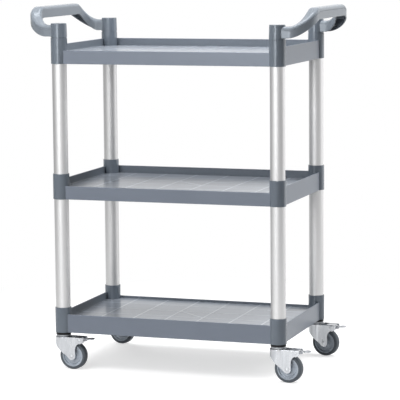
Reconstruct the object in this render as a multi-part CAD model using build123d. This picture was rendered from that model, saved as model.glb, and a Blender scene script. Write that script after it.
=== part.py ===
from build123d import *
import os
from math import asin, atan2, cos, degrees, hypot, pi, sin, sqrt

# Three-tier serving trolley. Millimetres, +Z up, origin on the floor under the middle of
# the trolley, +X towards the right-hand handle, -Y towards the front.

# Uprights and shelves
COLUMN_X = 585.0          # spacing of the upright axes along the trolley
COLUMN_Y = 358.0          # spacing of the upright axes across it
SHELF_PITCH = 350.0       # height from one tray to the next
TUBE_DIAMETER = 38.0
TUBE_WALL = 1.5
PUSH_FIT = 0.05           # radial clearance of every piece pushed into a socket

# Tray moulding, heights above the bottom edge of its skirt
SLEEVE_WALL = 2.25
SLEEVE_HEIGHT = 66.0
SLEEVE_WEB = 4.0          # stop in the middle of each corner sleeve
SLEEVE_EDGE = 0.8
WALL_OFFSET = 13.0        # outer face of the walls beyond the upright axes
TRAY_WALL = 3.0
HIGH_WALL = 48.0
LOW_WALL = 34.5
RIM_ROUND = 1.2
FLOOR_TOP = 28.0
FLOOR_THICKNESS = 3.0
FLOOR_ROUND = 3.0
RIB_PITCH_X = 88.0
RIB_PITCH_Y = 76.0
RIB_DEPTH = 12.0
RIB_THICKNESS = 2.4
BEAD_WIDTH = 4.5          # the ribs' lines on the upper side of the floor
BEAD_HEIGHT = 0.4

# Push handle, heights above its seat on the top tray's sleeves
HANDLE_SLEEVE_HEIGHT = 37.5
HANDLE_SLEEVE_TAPER = 1.1
HANDLE_CAP = 3.0
SPIGOT_WALL = 2.0
SPIGOT_SHORT = 1.0        # by this much the spigot stops above the sleeve's web
HANDLE_REACH = 79.0       # grip axis beyond the upright axes
HANDLE_TURN = 50.0        # plan radius of the arm's centre line
HANDLE_WIDTH = 30.0
HANDLE_HEIGHT = 29.0
HANDLE_ROUND = 9.0        # upper edges of the bar
ARM_BOTTOM = 4.0
GRIP_RISE = 45.0          # grip above the arms' roots
RISE_LENGTH = 90.0        # the rise, measured along the arm from the start of its turn
RISE_STEPS = 9
HANDLE_SHELL = 3.5
HANDLE_RIB = 2.0
HANDLE_RIB_PITCH = 28.0
HANDLE_RIB_RECESS = 6.0

# Caster wheel
WHEEL_DIAMETER = 72.0
TYRE_WIDTH = 22.0
TYRE_THICKNESS = 7.5
TYRE_SHOULDER = 5.0
TRAIL = 28.5              # axle behind the swivel axis
HUB_RIM = 4.0
HUB_WEB = 9.0
HUB_INSET = 1.0           # rim of the hub inside the tyre's sides
HUB_BOSS_RADIUS = 10.0
HUB_RING_RADIUS = 19.0
HUB_RING_WIDTH = 2.0
HUB_RING_HEIGHT = 1.5

# Caster fork, pressed from sheet
FORK_SHEET = 2.5
WHEEL_SIDE_GAP = 3.5      # between the tyre and each cheek
HOUSING_STEP = 4.5        # round housing proud of the flat cheeks
CROWN_GAP = 11.5          # between the tyre's top and the underside of the fork's head
HEAD_LENGTH = 20.0        # head plate behind the swivel axis
CHEEK_OVERHANG = 32.0     # cheeks behind the axle
CHEEK_DEPTH = 15.0        # height of the cheeks' rear ends
LEG_RADIUS = 10.3
NOSE_DEPTH = 15.0         # height of the housing's front
WHEEL_ARCH = 17.5

# Caster bearing, bush and axle
RUNNING_FIT = 0.05        # radial clearance of every turning piece
STEM_DIAMETER = 10.0
STEM_HEAD_RADIUS = 8.0
STEM_HEAD = 4.0
STEM_SHORT = 3.0          # by this much the stem stops below the bush's top
HEAD_PLAY = 0.3           # stem head under the fork's head plate
RACE_HEIGHT = 5.4
RACE_PLATE = 2.0
RACE_SKIRT = 1.5
RACE_LIFT = 0.6           # race's skirt above the fork's head
RACE_STEP = 2.5           # race inside the housing's radius
BALL_COUNT = 12
BALL_PLAY = 0.05
FLANGE_HEIGHT = 5.6
FLANGE_STEP = 1.6         # bush's flange inside the tray sleeve's radius
BUSH_SHORT = 2.0          # by this much the bush stops below the sleeve's web
AXLE_DIAMETER = 6.0
AXLE_SLEEVE_DIAMETER = 10.0
AXLE_HEAD_RADIUS = 5.5
AXLE_HEAD = 2.5
NUT_FLATS = 10.0
NUT_HEIGHT = 5.0
AXLE_END = 1.5            # thread beyond the nut
BOSS_PLAY = 1.0           # hub boss to each cheek

# Brake pedal
BRAKE_BEHIND = 21.5       # hinge pin behind the axle
BRAKE_BELOW = 7.0         # hinge pin below the fork's head
BRAKE_PIN_DIAMETER = 5.0
BRAKE_PIN_HEAD_RADIUS = 4.0
BRAKE_PIN_HEAD = 1.5
BRAKE_TRAVEL = 24.0       # degrees from up to pressed
SHOE_GAP = 0.3            # shoe to tyre when pressed
SHOE_TIP = 2.5
PEDAL_BARREL = 5.0
PEDAL_PLAY = 1.5          # pedal to each cheek
PEDAL_THICKNESS = 2.5
ROOT_FRONT = 16.0         # root plate between the cheeks, from this far in front of the hinge pin
ROOT_REAR = 6.0           # to this far behind it
ROOT_LIFT = 4.0           # root plate's underside above the hinge pin
STEP_LENGTH = 6.0         # step from the root plate down to the neck
NECK_LIFT = 1.5           # neck's underside above the hinge pin
NECK_WIDTH = 10.0
PEDAL_REACH = 37.0        # tip of the foot pad behind the hinge pin
PAD_LENGTH = 18.5         # oval foot pad
PAD_WIDTH = 24.0

# Swivel angle of each caster at rest, degrees clockwise from +X seen from above
SWIVEL_REST = {"front_left": 2.0, "front_right": 3.5, "rear_left": 8.0, "rear_right": 9.0}

# Sizes that follow
SOCKET_RADIUS = TUBE_DIAMETER / 2 + PUSH_FIT
SLEEVE_RADIUS = SOCKET_RADIUS + SLEEVE_WALL
SOCKET_DEPTH = (SLEEVE_HEIGHT - SLEEVE_WEB) / 2
WHEEL_RADIUS = WHEEL_DIAMETER / 2
FORK_TOP = WHEEL_DIAMETER + CROWN_GAP + FORK_SHEET
RACE_TOP = FORK_TOP + RACE_HEIGHT
TRAY_BASE = RACE_TOP + FLANGE_HEIGHT
HANDLE_SEAT = TRAY_BASE + 2 * SHELF_PITCH + SLEEVE_HEIGHT
ARM_ROOT = HANDLE_REACH - HANDLE_TURN
GRIP_MIDDLE = ARM_ROOT + HANDLE_TURN * (pi / 2 - 1) + COLUMN_Y / 2
SPIGOT_LENGTH = SOCKET_DEPTH - SPIGOT_SHORT
CHEEK_GAP = TYRE_WIDTH + 2 * WHEEL_SIDE_GAP
FORK_WIDTH = CHEEK_GAP + 2 * FORK_SHEET
HOUSING_RADIUS = FORK_WIDTH / 2 + HOUSING_STEP
FORK_REAR = TRAIL + CHEEK_OVERHANG
BUSH_LENGTH = SOCKET_DEPTH - BUSH_SHORT
STEM_LENGTH = BUSH_LENGTH - STEM_SHORT
STEM_RADIUS = STEM_DIAMETER / 2
AXLE_RADIUS = AXLE_DIAMETER / 2
AXLE_SLEEVE_RADIUS = AXLE_SLEEVE_DIAMETER / 2
BRAKE_PIN_RADIUS = BRAKE_PIN_DIAMETER / 2
BRAKE_X = TRAIL + BRAKE_BEHIND
BRAKE_Z = FORK_TOP - BRAKE_BELOW

BASE = (Align.CENTER, Align.CENTER, Align.MIN)
TOP = (Align.CENTER, Align.CENTER, Align.MAX)
CORNERS = {
    "front_left": (-COLUMN_X / 2, -COLUMN_Y / 2),
    "front_right": (COLUMN_X / 2, -COLUMN_Y / 2),
    "rear_left": (-COLUMN_X / 2, COLUMN_Y / 2),
    "rear_right": (COLUMN_X / 2, COLUMN_Y / 2),
}


def ring(outer, inner, height):
    return Cylinder(outer, height, align=BASE) - Cylinder(inner, height, align=BASE)


def rib_lines(pitch, span):
    """Places of evenly spaced lines, half a pitch from the middle, inside a span."""
    count = int((span / 2 - pitch / 4) / pitch + 0.5)
    return [side * (step + 0.5) * pitch for step in range(count) for side in (-1, 1)]


def floor_grid(length, width, thickness, height):
    """Bars of the rib pattern: a grid of lines and one diagonal across the middle cell."""
    bars = [Pos(x, 0, 0) * Box(thickness, width, height, align=BASE)
            for x in rib_lines(RIB_PITCH_X, length)]
    bars += [Pos(0, y, 0) * Box(length, thickness, height, align=BASE)
             for y in rib_lines(RIB_PITCH_Y, width)]
    slant = -degrees(atan2(RIB_PITCH_Y, RIB_PITCH_X))
    bars.append(Rot(0, 0, slant) * Box(hypot(RIB_PITCH_X, RIB_PITCH_Y), thickness, height, align=BASE))
    return bars


def tray():
    """One tray moulding, low wall towards -Y, skirt standing on Z = 0."""
    length = COLUMN_X + 2 * WALL_OFFSET
    width = COLUMN_Y + 2 * WALL_OFFSET
    inner = (length - 2 * TRAY_WALL, width - 2 * TRAY_WALL)

    body = Box(length, width, HIGH_WALL, align=BASE)
    body -= Pos(0, 0, FLOOR_TOP) * Box(*inner, HIGH_WALL, align=BASE)
    body = fillet(body.edges().filter_by_position(Axis.Z, FLOOR_TOP, FLOOR_TOP), FLOOR_ROUND)
    low_side = (TRAY_WALL - width) / 2
    body -= Pos(0, low_side, LOW_WALL) * Box(COLUMN_X, 2 * TRAY_WALL, HIGH_WALL, align=BASE)
    rims = body.edges().filter_by_position(Axis.Z, HIGH_WALL, HIGH_WALL)
    rims += body.edges().filter_by_position(Axis.Z, LOW_WALL, LOW_WALL).filter_by(Axis.X)
    body = fillet(rims, RIM_ROUND)
    body -= Box(*inner, FLOOR_TOP - FLOOR_THICKNESS, align=BASE)

    under_floor = FLOOR_TOP - FLOOR_THICKNESS
    for bar in floor_grid(*inner, RIB_THICKNESS, RIB_DEPTH):
        body += Pos(0, 0, under_floor - RIB_DEPTH) * bar
    on_floor = [size - 2 * FLOOR_ROUND for size in inner]
    for bar in floor_grid(*on_floor, BEAD_WIDTH, FLOOR_THICKNESS / 2 + BEAD_HEIGHT):
        body += Pos(0, 0, FLOOR_TOP - FLOOR_THICKNESS / 2) * bar

    sleeve = Cylinder(SLEEVE_RADIUS, SLEEVE_HEIGHT, align=BASE)
    sleeve = chamfer(sleeve.edges().filter_by(GeomType.CIRCLE), SLEEVE_EDGE)
    socket = Cylinder(SOCKET_RADIUS, SOCKET_DEPTH, align=BASE)
    for x, y in CORNERS.values():
        body += Pos(x, y, 0) * sleeve
    for x, y in CORNERS.values():
        body -= Pos(x, y, 0) * socket
        body -= Pos(x, y, SLEEVE_HEIGHT - SOCKET_DEPTH) * socket
    return body


def tube():
    """Upright between the webs of two trays, standing on Z = 0."""
    outer = TUBE_DIAMETER / 2
    return ring(outer, outer - TUBE_WALL, SHELF_PITCH - SLEEVE_WEB)


def handle_place(distance):
    """Upright plane across the handle's bar, square to its plan, this far from the front upright.

    The bar runs out from the upright, turns a quarter circle towards the back while it
    rises to the grip, and goes on along the grip.
    """
    turned = min(max(distance - ARM_ROOT, 0) / HANDLE_TURN, pi / 2)
    beyond = max(distance - ARM_ROOT - HANDLE_TURN * pi / 2, 0)
    x = min(distance, ARM_ROOT) + HANDLE_TURN * sin(turned)
    y = HANDLE_TURN * (1 - cos(turned)) + beyond - COLUMN_Y / 2
    share = min(max((distance - ARM_ROOT) / RISE_LENGTH, 0), 1)
    z = ARM_BOTTOM + HANDLE_HEIGHT / 2 + GRIP_RISE * share**2 * (3 - 2 * share)
    return Plane((x, y, z), x_dir=(-sin(turned), cos(turned), 0), z_dir=(cos(turned), sin(turned), 0))


def handle_section(inset, below):
    """Section of the bar inside its surface by an inset, reaching this far below its middle."""
    half, top = HANDLE_WIDTH / 2 - inset, HANDLE_HEIGHT / 2 - inset
    face = Pos(0, (top - below) / 2) * Rectangle(2 * half, top + below)
    return fillet(face.vertices().group_by(Axis.Y)[-1], HANDLE_ROUND - inset)


def handle_bar(inset, below, start):
    """Front half of the handle's bar, from a distance along it to the middle of the grip."""
    section = handle_section(inset, below)
    steps = [ARM_ROOT + RISE_LENGTH * step / RISE_STEPS for step in range(RISE_STEPS + 1)]
    bar = loft([handle_place(distance) * section for distance in steps])
    bar += extrude(handle_place(steps[-1]) * section, GRIP_MIDDLE - steps[-1])
    if start < ARM_ROOT:
        bar += extrude(handle_place(start) * section, ARM_ROOT - start)
    return bar


def handle():
    """Push handle of the +X end, seated on Z = 0, upright axes at X = 0."""
    half_height = HANDLE_HEIGHT / 2
    bar = handle_bar(0, half_height, 0)
    bar -= handle_bar(HANDLE_SHELL, HANDLE_HEIGHT, ARM_ROOT)
    rib = handle_section(HANDLE_SHELL / 2, half_height - HANDLE_RIB_RECESS)
    distance = GRIP_MIDDLE - HANDLE_RIB_PITCH / 2
    while distance > ARM_ROOT:
        bar += extrude(handle_place(distance) * rib, HANDLE_RIB / 2, both=True)
        distance -= HANDLE_RIB_PITCH
    body = bar + mirror(bar, Plane.XZ)

    bore = TUBE_DIAMETER / 2 - SPIGOT_WALL
    depth = SPIGOT_LENGTH + HANDLE_SLEEVE_HEIGHT - HANDLE_CAP
    sleeve = Cone(SLEEVE_RADIUS, SLEEVE_RADIUS - HANDLE_SLEEVE_TAPER, HANDLE_SLEEVE_HEIGHT, align=BASE)
    sleeve = fillet(sleeve.edges().group_by(Axis.Z)[-1], SLEEVE_EDGE)
    sleeve += Cylinder(TUBE_DIAMETER / 2, SPIGOT_LENGTH, align=TOP)
    for y in (-COLUMN_Y / 2, COLUMN_Y / 2):
        body += Pos(0, y, 0) * sleeve
    for y in (-COLUMN_Y / 2, COLUMN_Y / 2):
        body -= Pos(0, y, -SPIGOT_LENGTH) * Cylinder(bore, depth, align=BASE)
    return body


def caster_bush():
    """Plug in the bottom tray's sleeve, with the flange that carries the caster."""
    bore = STEM_RADIUS + PUSH_FIT
    flange = ring(SLEEVE_RADIUS - FLANGE_STEP, bore, FLANGE_HEIGHT)
    return Pos(0, 0, RACE_TOP) * flange + Pos(0, 0, TRAY_BASE) * ring(TUBE_DIAMETER / 2, bore, BUSH_LENGTH)


def caster_stem():
    """Kingpin: headed below the fork, fixed in the race and the bush above it."""
    head_top = FORK_TOP - FORK_SHEET - HEAD_PLAY
    shank = TRAY_BASE + STEM_LENGTH - head_top
    head = Pos(0, 0, head_top) * Cylinder(STEM_HEAD_RADIUS, STEM_HEAD, align=TOP)
    return head + Pos(0, 0, head_top) * Cylinder(STEM_RADIUS, shank, align=BASE)


def upper_race():
    """Pressed cup over the bearing balls."""
    radius = HOUSING_RADIUS - RACE_STEP
    plate = ring(radius, STEM_RADIUS + PUSH_FIT, RACE_PLATE)
    skirt = ring(radius, radius - RACE_SKIRT, RACE_HEIGHT - RACE_LIFT)
    return Pos(0, 0, RACE_TOP - RACE_PLATE) * plate + Pos(0, 0, FORK_TOP + RACE_LIFT) * skirt


def bearing_balls():
    """Ring of loose balls between the fork's head and the race."""
    ball = (RACE_HEIGHT - RACE_PLATE) / 2 - BALL_PLAY
    circle = (STEM_RADIUS + HOUSING_RADIUS - RACE_STEP - RACE_SKIRT) / 2
    places = PolarLocations(circle, BALL_COUNT)
    return Compound([Pos(0, 0, FORK_TOP + BALL_PLAY + ball) * place * Sphere(ball) for place in places])


def fork_plan(inset):
    """Plan of the fork's outer faces, or inset from them: round housing, parallel cheeks."""
    reach = FORK_REAR + inset
    cheeks = Pos(reach / 2, 0) * Rectangle(reach, FORK_WIDTH - 2 * inset)
    return Circle(HOUSING_RADIUS - inset) + cheeks


def fork_side():
    """Side view of the fork: housing, rear strip above the wheel arch, leg to the axle."""
    nose = (-HOUSING_RADIUS, FORK_TOP - NOSE_DEPTH)
    axle = (TRAIL, WHEEL_RADIUS)
    strip_low = FORK_TOP - CHEEK_DEPTH
    leg_back = TRAIL + LEG_RADIUS
    run_x, run_z = axle[0] - nose[0], axle[1] - nose[1]
    heading = atan2(run_z, run_x) - asin(LEG_RADIUS / hypot(run_x, run_z))
    touch = sqrt(run_x**2 + run_z**2 - LEG_RADIUS**2)
    tangent = (nose[0] + touch * cos(heading), nose[1] + touch * sin(heading))
    outline = Polyline(nose, (-HOUSING_RADIUS, FORK_TOP), (FORK_REAR, FORK_TOP), (FORK_REAR, strip_low),
                       (leg_back, strip_low), (leg_back, WHEEL_RADIUS), axle, tangent, close=True)
    face = make_face(outline.edges())
    arch = face.vertices().sort_by_distance((leg_back, strip_low, 0))[0]
    face = fillet(arch, WHEEL_ARCH)
    return Plane.XZ * (face + Pos(*axle) * Circle(LEG_RADIUS))


def across(radius, length):
    """Round bar along Y, centred."""
    return Rot(90, 0, 0) * Cylinder(radius, length)


def fork():
    """Pressed fork: head plate, round closed front, two cheeks with the axle's legs."""
    shell = extrude(fork_plan(0), FORK_TOP) - extrude(fork_plan(FORK_SHEET), FORK_TOP - FORK_SHEET)
    shell &= extrude(fork_side(), HOUSING_RADIUS, both=True)
    slot = FORK_REAR - HEAD_LENGTH
    shell -= Pos(HEAD_LENGTH + slot / 2, 0, FORK_TOP) * Box(slot, CHEEK_GAP, 2 * FORK_SHEET)
    shell -= Cylinder(STEM_RADIUS + RUNNING_FIT, FORK_TOP, align=BASE)
    shell -= Pos(TRAIL, 0, WHEEL_RADIUS) * across(AXLE_RADIUS + PUSH_FIT, FORK_WIDTH)
    shell -= Pos(BRAKE_X, 0, BRAKE_Z) * across(BRAKE_PIN_RADIUS + PUSH_FIT, FORK_WIDTH)
    return shell


def axle_bolt():
    """Axle with a low round head on the front side."""
    head = Cylinder(AXLE_HEAD_RADIUS, AXLE_HEAD, align=TOP)
    head = fillet(head.edges().group_by(Axis.Z)[0], AXLE_HEAD / 2)
    bolt = head + Cylinder(AXLE_RADIUS, FORK_WIDTH + NUT_HEIGHT + AXLE_END, align=BASE)
    return Pos(TRAIL, -FORK_WIDTH / 2, WHEEL_RADIUS) * Rot(-90, 0, 0) * bolt


def axle_nut():
    hexagon = RegularPolygon(NUT_FLATS / 2, 6, major_radius=False)
    nut = extrude(hexagon - Circle(AXLE_RADIUS + PUSH_FIT), NUT_HEIGHT)
    return Pos(TRAIL, FORK_WIDTH / 2, WHEEL_RADIUS) * Rot(-90, 0, 0) * nut


def axle_sleeve():
    """Spacer tube between the cheeks, which the hub turns on."""
    tube_piece = across(AXLE_SLEEVE_RADIUS, CHEEK_GAP) - across(AXLE_RADIUS + PUSH_FIT, CHEEK_GAP)
    return Pos(TRAIL, 0, WHEEL_RADIUS) * tube_piece


def wheel_hub():
    """Moulded hub: rim under the tyre, web with a raised ring on each side, boss."""
    rim_radius = WHEEL_RADIUS - TYRE_THICKNESS - PUSH_FIT
    rim_width = TYRE_WIDTH - 2 * HUB_INSET
    hub = Cylinder(rim_radius, rim_width) - Cylinder(rim_radius - HUB_RIM, rim_width)
    hub += Cylinder(rim_radius - HUB_RIM / 2, HUB_WEB)
    bead = HUB_WEB + 2 * HUB_RING_HEIGHT
    hub += Cylinder(HUB_RING_RADIUS + HUB_RING_WIDTH, bead) - Cylinder(HUB_RING_RADIUS, bead)
    hub += Cylinder(HUB_BOSS_RADIUS, CHEEK_GAP - 2 * BOSS_PLAY)
    hub -= Cylinder(AXLE_SLEEVE_RADIUS + RUNNING_FIT, CHEEK_GAP)
    return Pos(TRAIL, 0, WHEEL_RADIUS) * Rot(90, 0, 0) * hub


def tyre():
    tread = Cylinder(WHEEL_RADIUS, TYRE_WIDTH)
    tread = fillet(tread.edges().filter_by(GeomType.CIRCLE), TYRE_SHOULDER)
    tread -= Cylinder(WHEEL_RADIUS - TYRE_THICKNESS, TYRE_WIDTH)
    return Pos(TRAIL, 0, WHEEL_RADIUS) * Rot(90, 0, 0) * tread


def brake_pin():
    """Hinge pin of the pedal, with a head outside each cheek."""
    pin = across(BRAKE_PIN_RADIUS, FORK_WIDTH)
    for side in (-1, 1):
        head_y = side * (FORK_WIDTH + BRAKE_PIN_HEAD) / 2
        pin += Pos(0, head_y, 0) * across(BRAKE_PIN_HEAD_RADIUS, BRAKE_PIN_HEAD)
    return Pos(BRAKE_X, 0, BRAKE_Z) * pin


def brake_pedal():
    """Pedal in one piece, brake off: root plate, neck and oval foot pad, hinge barrel, shoe."""
    width = CHEEK_GAP - 2 * PEDAL_PLAY
    step_end = ROOT_REAR + STEP_LENGTH
    under = [(-ROOT_FRONT, ROOT_LIFT), (ROOT_REAR, ROOT_LIFT)]
    under += [(step_end, NECK_LIFT), (PEDAL_REACH, NECK_LIFT)]
    over = [(x, z + PEDAL_THICKNESS) for x, z in reversed(under)]
    side = make_face(Polyline(*under, *over, close=True).edges())
    pad_middle = PEDAL_REACH - PAD_LENGTH / 2
    plan = Pos((ROOT_REAR - ROOT_FRONT) / 2, 0) * Rectangle(ROOT_FRONT + ROOT_REAR, width)
    plan += Pos(pad_middle / 2, 0) * Rectangle(pad_middle, NECK_WIDTH)
    plan += Pos(pad_middle, 0) * Ellipse(PAD_LENGTH / 2, PAD_WIDTH / 2)
    pedal = extrude(Plane.XZ * side, width / 2, both=True)
    pedal &= extrude(plan, ROOT_LIFT + PEDAL_THICKNESS)

    wheel_x, wheel_z = TRAIL - BRAKE_X, WHEEL_RADIUS - BRAKE_Z
    shoe_reach = hypot(wheel_x, wheel_z) - WHEEL_RADIUS - SHOE_GAP - SHOE_TIP
    shoe_angle = degrees(atan2(wheel_z, wheel_x)) + BRAKE_TRAVEL
    shoe = Pos(shoe_reach / 2, 0) * Rectangle(shoe_reach, 2 * SHOE_TIP)
    shoe += Pos(shoe_reach, 0) * Circle(SHOE_TIP)
    hinge = Circle(PEDAL_BARREL) + Rot(0, 0, shoe_angle) * shoe
    pedal += extrude(Plane.XZ * hinge, width / 2, both=True)
    pedal -= across(BRAKE_PIN_RADIUS + RUNNING_FIT, width)
    return Pos(BRAKE_X, 0, BRAKE_Z) * pedal


def caster():
    """Pieces of one caster, trailing towards +X, swivel axis at the origin."""
    return {
        "caster_stem": caster_stem(),
        "upper_race": upper_race(),
        "bearing_balls": bearing_balls(),
        "fork": fork(),
        "axle_bolt": axle_bolt(),
        "axle_nut": axle_nut(),
        "axle_sleeve": axle_sleeve(),
        "wheel_hub": wheel_hub(),
        "tyre": tyre(),
        "brake_pin": brake_pin(),
        "brake_pedal": brake_pedal(),
    }


def trolley():
    """Every piece in its place, by name."""
    pieces = {}
    moulding = tray()
    pieces["bottom_tray"] = Pos(0, 0, TRAY_BASE) * Rot(0, 0, 180) * moulding
    pieces["middle_tray"] = Pos(0, 0, TRAY_BASE + SHELF_PITCH) * moulding
    pieces["top_tray"] = Pos(0, 0, TRAY_BASE + 2 * SHELF_PITCH) * moulding

    upright = tube()
    tube_foot = TRAY_BASE + SOCKET_DEPTH + SLEEVE_WEB
    for corner, (x, y) in CORNERS.items():
        pieces[f"{corner}_lower_tube"] = Pos(x, y, tube_foot) * upright
        pieces[f"{corner}_upper_tube"] = Pos(x, y, tube_foot + SHELF_PITCH) * upright

    grip = handle()
    pieces["right_handle"] = Pos(COLUMN_X / 2, 0, HANDLE_SEAT) * grip
    pieces["left_handle"] = Pos(-COLUMN_X / 2, 0, HANDLE_SEAT) * Rot(0, 0, 180) * grip

    bush = caster_bush()
    pieces["caster_bushes"] = Compound([Pos(x, y, 0) * bush for x, y in CORNERS.values()])
    caster_pieces = caster()
    for corner, (x, y) in CORNERS.items():
        for name, shape in caster_pieces.items():
            pieces[f"{corner}_{name}"] = Pos(x, y, 0) * Rot(0, 0, -SWIVEL_REST[corner]) * shape
    return pieces


os.makedirs("parts", exist_ok=True)
for name, shape in trolley().items():
    export_step(shape, f"parts/{name}.step")
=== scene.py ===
from math import asin, atan2, cos, hypot, pi, radians, sin, sqrt

import bmesh
import bpy
from mathutils import Matrix, Vector


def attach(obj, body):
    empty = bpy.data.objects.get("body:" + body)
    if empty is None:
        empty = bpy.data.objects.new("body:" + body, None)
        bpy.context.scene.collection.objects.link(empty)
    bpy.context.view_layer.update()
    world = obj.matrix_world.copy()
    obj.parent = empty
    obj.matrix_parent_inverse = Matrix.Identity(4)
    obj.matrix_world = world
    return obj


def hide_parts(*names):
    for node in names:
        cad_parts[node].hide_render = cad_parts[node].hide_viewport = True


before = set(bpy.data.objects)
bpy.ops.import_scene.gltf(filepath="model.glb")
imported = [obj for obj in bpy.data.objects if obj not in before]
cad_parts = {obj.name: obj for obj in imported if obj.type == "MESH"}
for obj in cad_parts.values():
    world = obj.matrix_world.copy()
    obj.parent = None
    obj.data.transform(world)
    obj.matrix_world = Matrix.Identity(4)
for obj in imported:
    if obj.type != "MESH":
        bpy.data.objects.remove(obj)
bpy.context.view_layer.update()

# Sizes in metres, as the CAD solids have them
MM = 0.001
COLUMN_X, COLUMN_Y = 585 * MM, 358 * MM
SHELF_PITCH = 350 * MM
TRAY_BASE = 97 * MM
TUBE_RADIUS, TUBE_WALL = 19 * MM, 1.5 * MM

SLEEVE_RADIUS, SLEEVE_WALL = 21.3 * MM, 2.25 * MM
SLEEVE_HEIGHT, SLEEVE_WEB, SLEEVE_EDGE = 66 * MM, 4 * MM, 0.8 * MM
SOCKET_DEPTH = (SLEEVE_HEIGHT - SLEEVE_WEB) / 2
WALL_OFFSET, TRAY_WALL = 13 * MM, 3 * MM
HIGH_WALL, LOW_WALL, RIM_ROUND = 48 * MM, 34.5 * MM, 1.2 * MM
FLOOR_TOP, FLOOR_THICKNESS, FLOOR_ROUND = 28 * MM, 3 * MM, 3 * MM
LINE_X, LINE_Y = 88 * MM, 76 * MM
LINE_WIDTH, LINE_HEIGHT = 4.5 * MM, 0.15 * MM
RIB_WIDTH, RIB_DEPTH = 2.4 * MM, 12 * MM

HANDLE_SEAT = TRAY_BASE + 2 * SHELF_PITCH + SLEEVE_HEIGHT
HANDLE_SLEEVE, HANDLE_TAPER, HANDLE_CAP = 37.5 * MM, 1.1 * MM, 3 * MM
SPIGOT_LENGTH, SPIGOT_WALL, SEAM = 30 * MM, 2 * MM, 1.7 * MM
HANDLE_REACH, HANDLE_TURN = 79 * MM, 50 * MM
BAR_WIDTH, BAR_HEIGHT, BAR_ROUND, BAR_SHELL = 30 * MM, 29 * MM, 9 * MM, 3.5 * MM
BAR_EDGE, BAR_GROOVE, BAR_START = 0.8 * MM, 1.6 * MM, 14 * MM
ARM_BOTTOM, GRIP_RISE, RISE_LENGTH = 4 * MM, 45 * MM, 90 * MM
BAR_RIB, BAR_RIB_PITCH, BAR_RIB_RECESS = 2 * MM, 28 * MM, 6 * MM

WHEEL_RADIUS, TRAIL = 36 * MM, 28.5 * MM
FORK_TOP, FORK_SHEET, FORK_ROUND = 86 * MM, 2.5 * MM, 2 * MM
CHEEK, HOUSING_RADIUS = 17 * MM, 21.5 * MM
FORK_REAR, HEAD_LENGTH = 60.5 * MM, 20 * MM
CHEEK_LOW, LEG_RADIUS, WHEEL_ARCH = 71 * MM, 10.3 * MM, 17.5 * MM
RACE_TOP, RACE_RADIUS = 91.4 * MM, 19 * MM
STEM_RADIUS, BUSH_COLLAR, BUSH_LENGTH = 5 * MM, 19.7 * MM, 29 * MM
BRAKE_X, BRAKE_Z, BRAKE_TRAVEL, SHOE_GAP = 50 * MM, 79 * MM, radians(24), 0.3 * MM
PEDAL_HALF, PEDAL_REACH, PEDAL_SHEET = 13 * MM, 37 * MM, 2.5 * MM
PEDAL_BARREL, PIN_BORE = 5 * MM, 2.55 * MM
ROOT_FRONT, ROOT_REAR, ROOT_LIFT, STEP_LENGTH = 16 * MM, 6 * MM, 4 * MM, 6 * MM
NECK_LIFT, NECK_HALF, PAD_LENGTH, PAD_HALF = 1.5 * MM, 5 * MM, 18.5 * MM, 12 * MM

# Radii of broken edges
FINE_EDGE, PRESSED_EDGE, PEDAL_EDGE, SHOE_EDGE = 0.3 * MM, 0.4 * MM, 0.5 * MM, 2 * MM

# Side along X, side along Y, and the caster's swivel at rest in degrees
CORNERS = {
    "front_left": (-1, -1, 2.0),
    "front_right": (1, -1, 3.5),
    "rear_left": (-1, 1, 8.0),
    "rear_right": (1, 1, 9.0),
}


# Modelling steps

def take(piece):
    """Leaves one piece selected and active."""
    bpy.ops.object.select_all(action="DESELECT")
    piece.select_set(True)
    bpy.context.view_layer.objects.active = piece


def begin(piece, kind="FACE"):
    """Opens a piece for editing, with nothing selected."""
    take(piece)
    bpy.ops.object.mode_set(mode="EDIT")
    bpy.ops.mesh.select_mode(type=kind)
    bpy.ops.mesh.select_all(action="DESELECT")


def end():
    bpy.ops.object.mode_set(mode="OBJECT")


def pick(piece, wanted):
    """Selects the faces whose middle and normal pass a test."""
    bpy.ops.mesh.select_mode(type="FACE")
    mesh = bmesh.from_edit_mesh(piece.data)
    for face in mesh.faces:
        face.select_set(wanted(face.calc_center_median(), face.normal))
    bmesh.update_edit_mesh(piece.data)


def pick_edges(piece, wanted):
    """Selects the edges whose two ends pass a test."""
    bpy.ops.mesh.select_mode(type="EDGE")
    bpy.ops.mesh.select_all(action="DESELECT")
    mesh = bmesh.from_edit_mesh(piece.data)
    for edge in mesh.edges:
        edge.select_set(wanted(edge.verts[0].co, edge.verts[1].co))
    bmesh.update_edit_mesh(piece.data)


def extrude(step):
    bpy.ops.mesh.extrude_region_move(TRANSFORM_OT_translate={"value": step})


def slice_at(place, across):
    """Cuts an edge line into everything that is selected."""
    bpy.ops.mesh.bisect(plane_co=place, plane_no=across)


def apply(piece, kind, **settings):
    """Adds a modifier to a piece and applies it."""
    take(piece)
    modifier = piece.modifiers.new(kind.title(), kind)
    for name, value in settings.items():
        setattr(modifier, name, value)
    bpy.ops.object.modifier_apply(modifier=modifier.name)


def carve(piece, tool, operation="DIFFERENCE"):
    """Cuts a tool out of a piece, or keeps what both share, and merges what the cut leaves too close."""
    apply(piece, "BOOLEAN", object=tool, operation=operation, solver="EXACT")
    bpy.data.objects.remove(tool)
    begin(piece)
    bpy.ops.mesh.select_all(action="SELECT")
    bpy.ops.mesh.remove_doubles(threshold=MM / 50)
    end()


def soften(piece, radius, angle=35, segments=3):
    """Rounds every edge sharper than an angle."""
    apply(piece, "BEVEL", width=radius, segments=segments, limit_method="ANGLE", angle_limit=radians(angle))


def smooth(piece, angle=40):
    """Shades a piece smooth over its rounded edges and keeps its flats flat."""
    take(piece)
    bpy.ops.object.shade_smooth_by_angle(angle=radians(angle))
    apply(piece, "WEIGHTED_NORMAL", keep_sharp=True, weight=60)


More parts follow.
